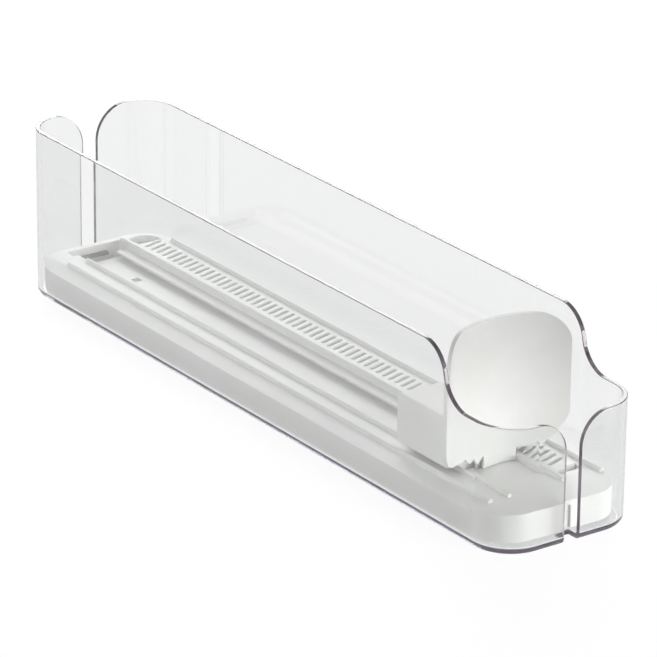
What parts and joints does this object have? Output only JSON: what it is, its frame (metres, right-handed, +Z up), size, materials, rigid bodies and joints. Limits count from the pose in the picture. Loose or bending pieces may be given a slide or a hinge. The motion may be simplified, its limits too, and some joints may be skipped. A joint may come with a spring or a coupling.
{
  "type": "refrigerator bin with spring pusher",
  "caption": "Clear one-lane refrigerator bin with a white slotted track and a spring-driven pusher that feeds cans or bottles to the front.",
  "frame": {"origin": "middle of the flat underside of the clear bin", "axes": "+X across the bin, -Y towards the low front lip, +Z up"},
  "size_m": [0.08, 0.4, 0.088],
  "materials": {
    "clear_plastic": "clear, polished, colourless",
    "white_plastic": "satin moulded",
    "gear_plastic": "natural acetal",
    "soft_pad": "soft grey elastomer",
    "spring_steel": "bright rolled",
    "zinc_steel": "bright plated"
  },
  "bodies": {
    "bin": {"clear_bin": "clear_plastic", "track_base": "white_plastic", "track_pads": "soft_pad", "rack_strip": "white_plastic", "front_stop": "white_plastic", "stop_screw": "zinc_steel", "front_bumper": "soft_pad", "rear_bumper": "soft_pad"},
    "pusher": {"pusher_panel": "white_plastic", "panel_screws": "zinc_steel", "pusher_housing": "white_plastic", "housing_screws": "zinc_steel", "carriage": "white_plastic", "axle_bushes": "gear_plastic", "spring_barrel": "gear_plastic", "barrel_lid": "gear_plastic", "mainspring": "spring_steel"},
    "drive_train": {"drive_axle": "zinc_steel", "axle_clips": "spring_steel", "drive_pinion": "gear_plastic", "spring_arbor": "gear_plastic"}
  },
  "joints": [
    {"name": "pusher_slide", "type": "slide", "parent": "bin", "child": "pusher", "axis": [0, 1, 0], "range_m": [0, 0.2911], "stiffness_N_per_m": 5, "springref_m": -0.35},
    {"name": "drive_spin", "type": "hinge", "parent": "pusher", "child": "drive_train", "pos_m": [0, -0.121, 0.02715], "axis": [-1, 0, 0], "range_deg": [0, 1800]}
  ],
  "couplings": [
    {"joint": "drive_spin", "follows": "pusher_slide", "rad_per_m": 104.72}
  ]
}
